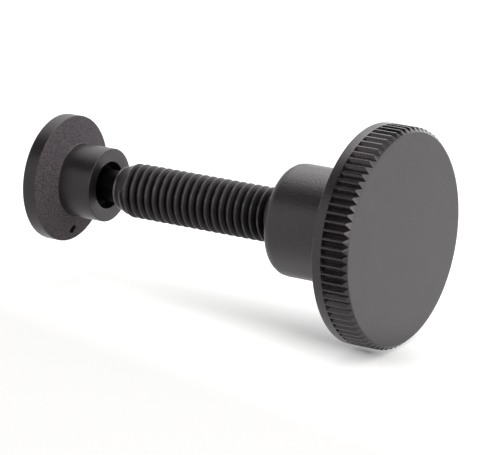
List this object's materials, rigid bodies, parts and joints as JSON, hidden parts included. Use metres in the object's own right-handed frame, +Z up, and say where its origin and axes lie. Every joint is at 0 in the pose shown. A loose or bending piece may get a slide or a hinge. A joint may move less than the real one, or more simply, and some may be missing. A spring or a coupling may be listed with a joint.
{
  "type": "knurled clamping screw",
  "caption": "Clamping screw with a straight-knurled plastic knob on a round hub, a right-hand threaded steel stud and a swivelling plastic thrust pad on its ball end.",
  "frame": {"origin": "on the screw's axis, at the hub's end face, where the stud leaves the knob", "axes": "+X along the screw's axis from the pad towards the knob's front face, +Z up as it lies with its axis level"},
  "size_m": [0.0578, 0.031, 0.031],
  "materials": {
    "knob_plastic": "moulded, fine matt",
    "stud_steel": "blackened, rolled thread",
    "pad_plastic": "moulded, spark-eroded grain"
  },
  "bodies": {
    "screw": {"knurled_knob": "knob_plastic", "threaded_stud": "stud_steel"},
    "pad": {"thrust_pad": "pad_plastic"}
  },
  "joints": [
    {"name": "pad_tilt", "type": "hinge", "parent": "screw", "child": "pad", "pos_m": [-0.0345, 0, 0], "axis": [0, 1, 0], "range_deg": [-8, 8]}
  ]
}
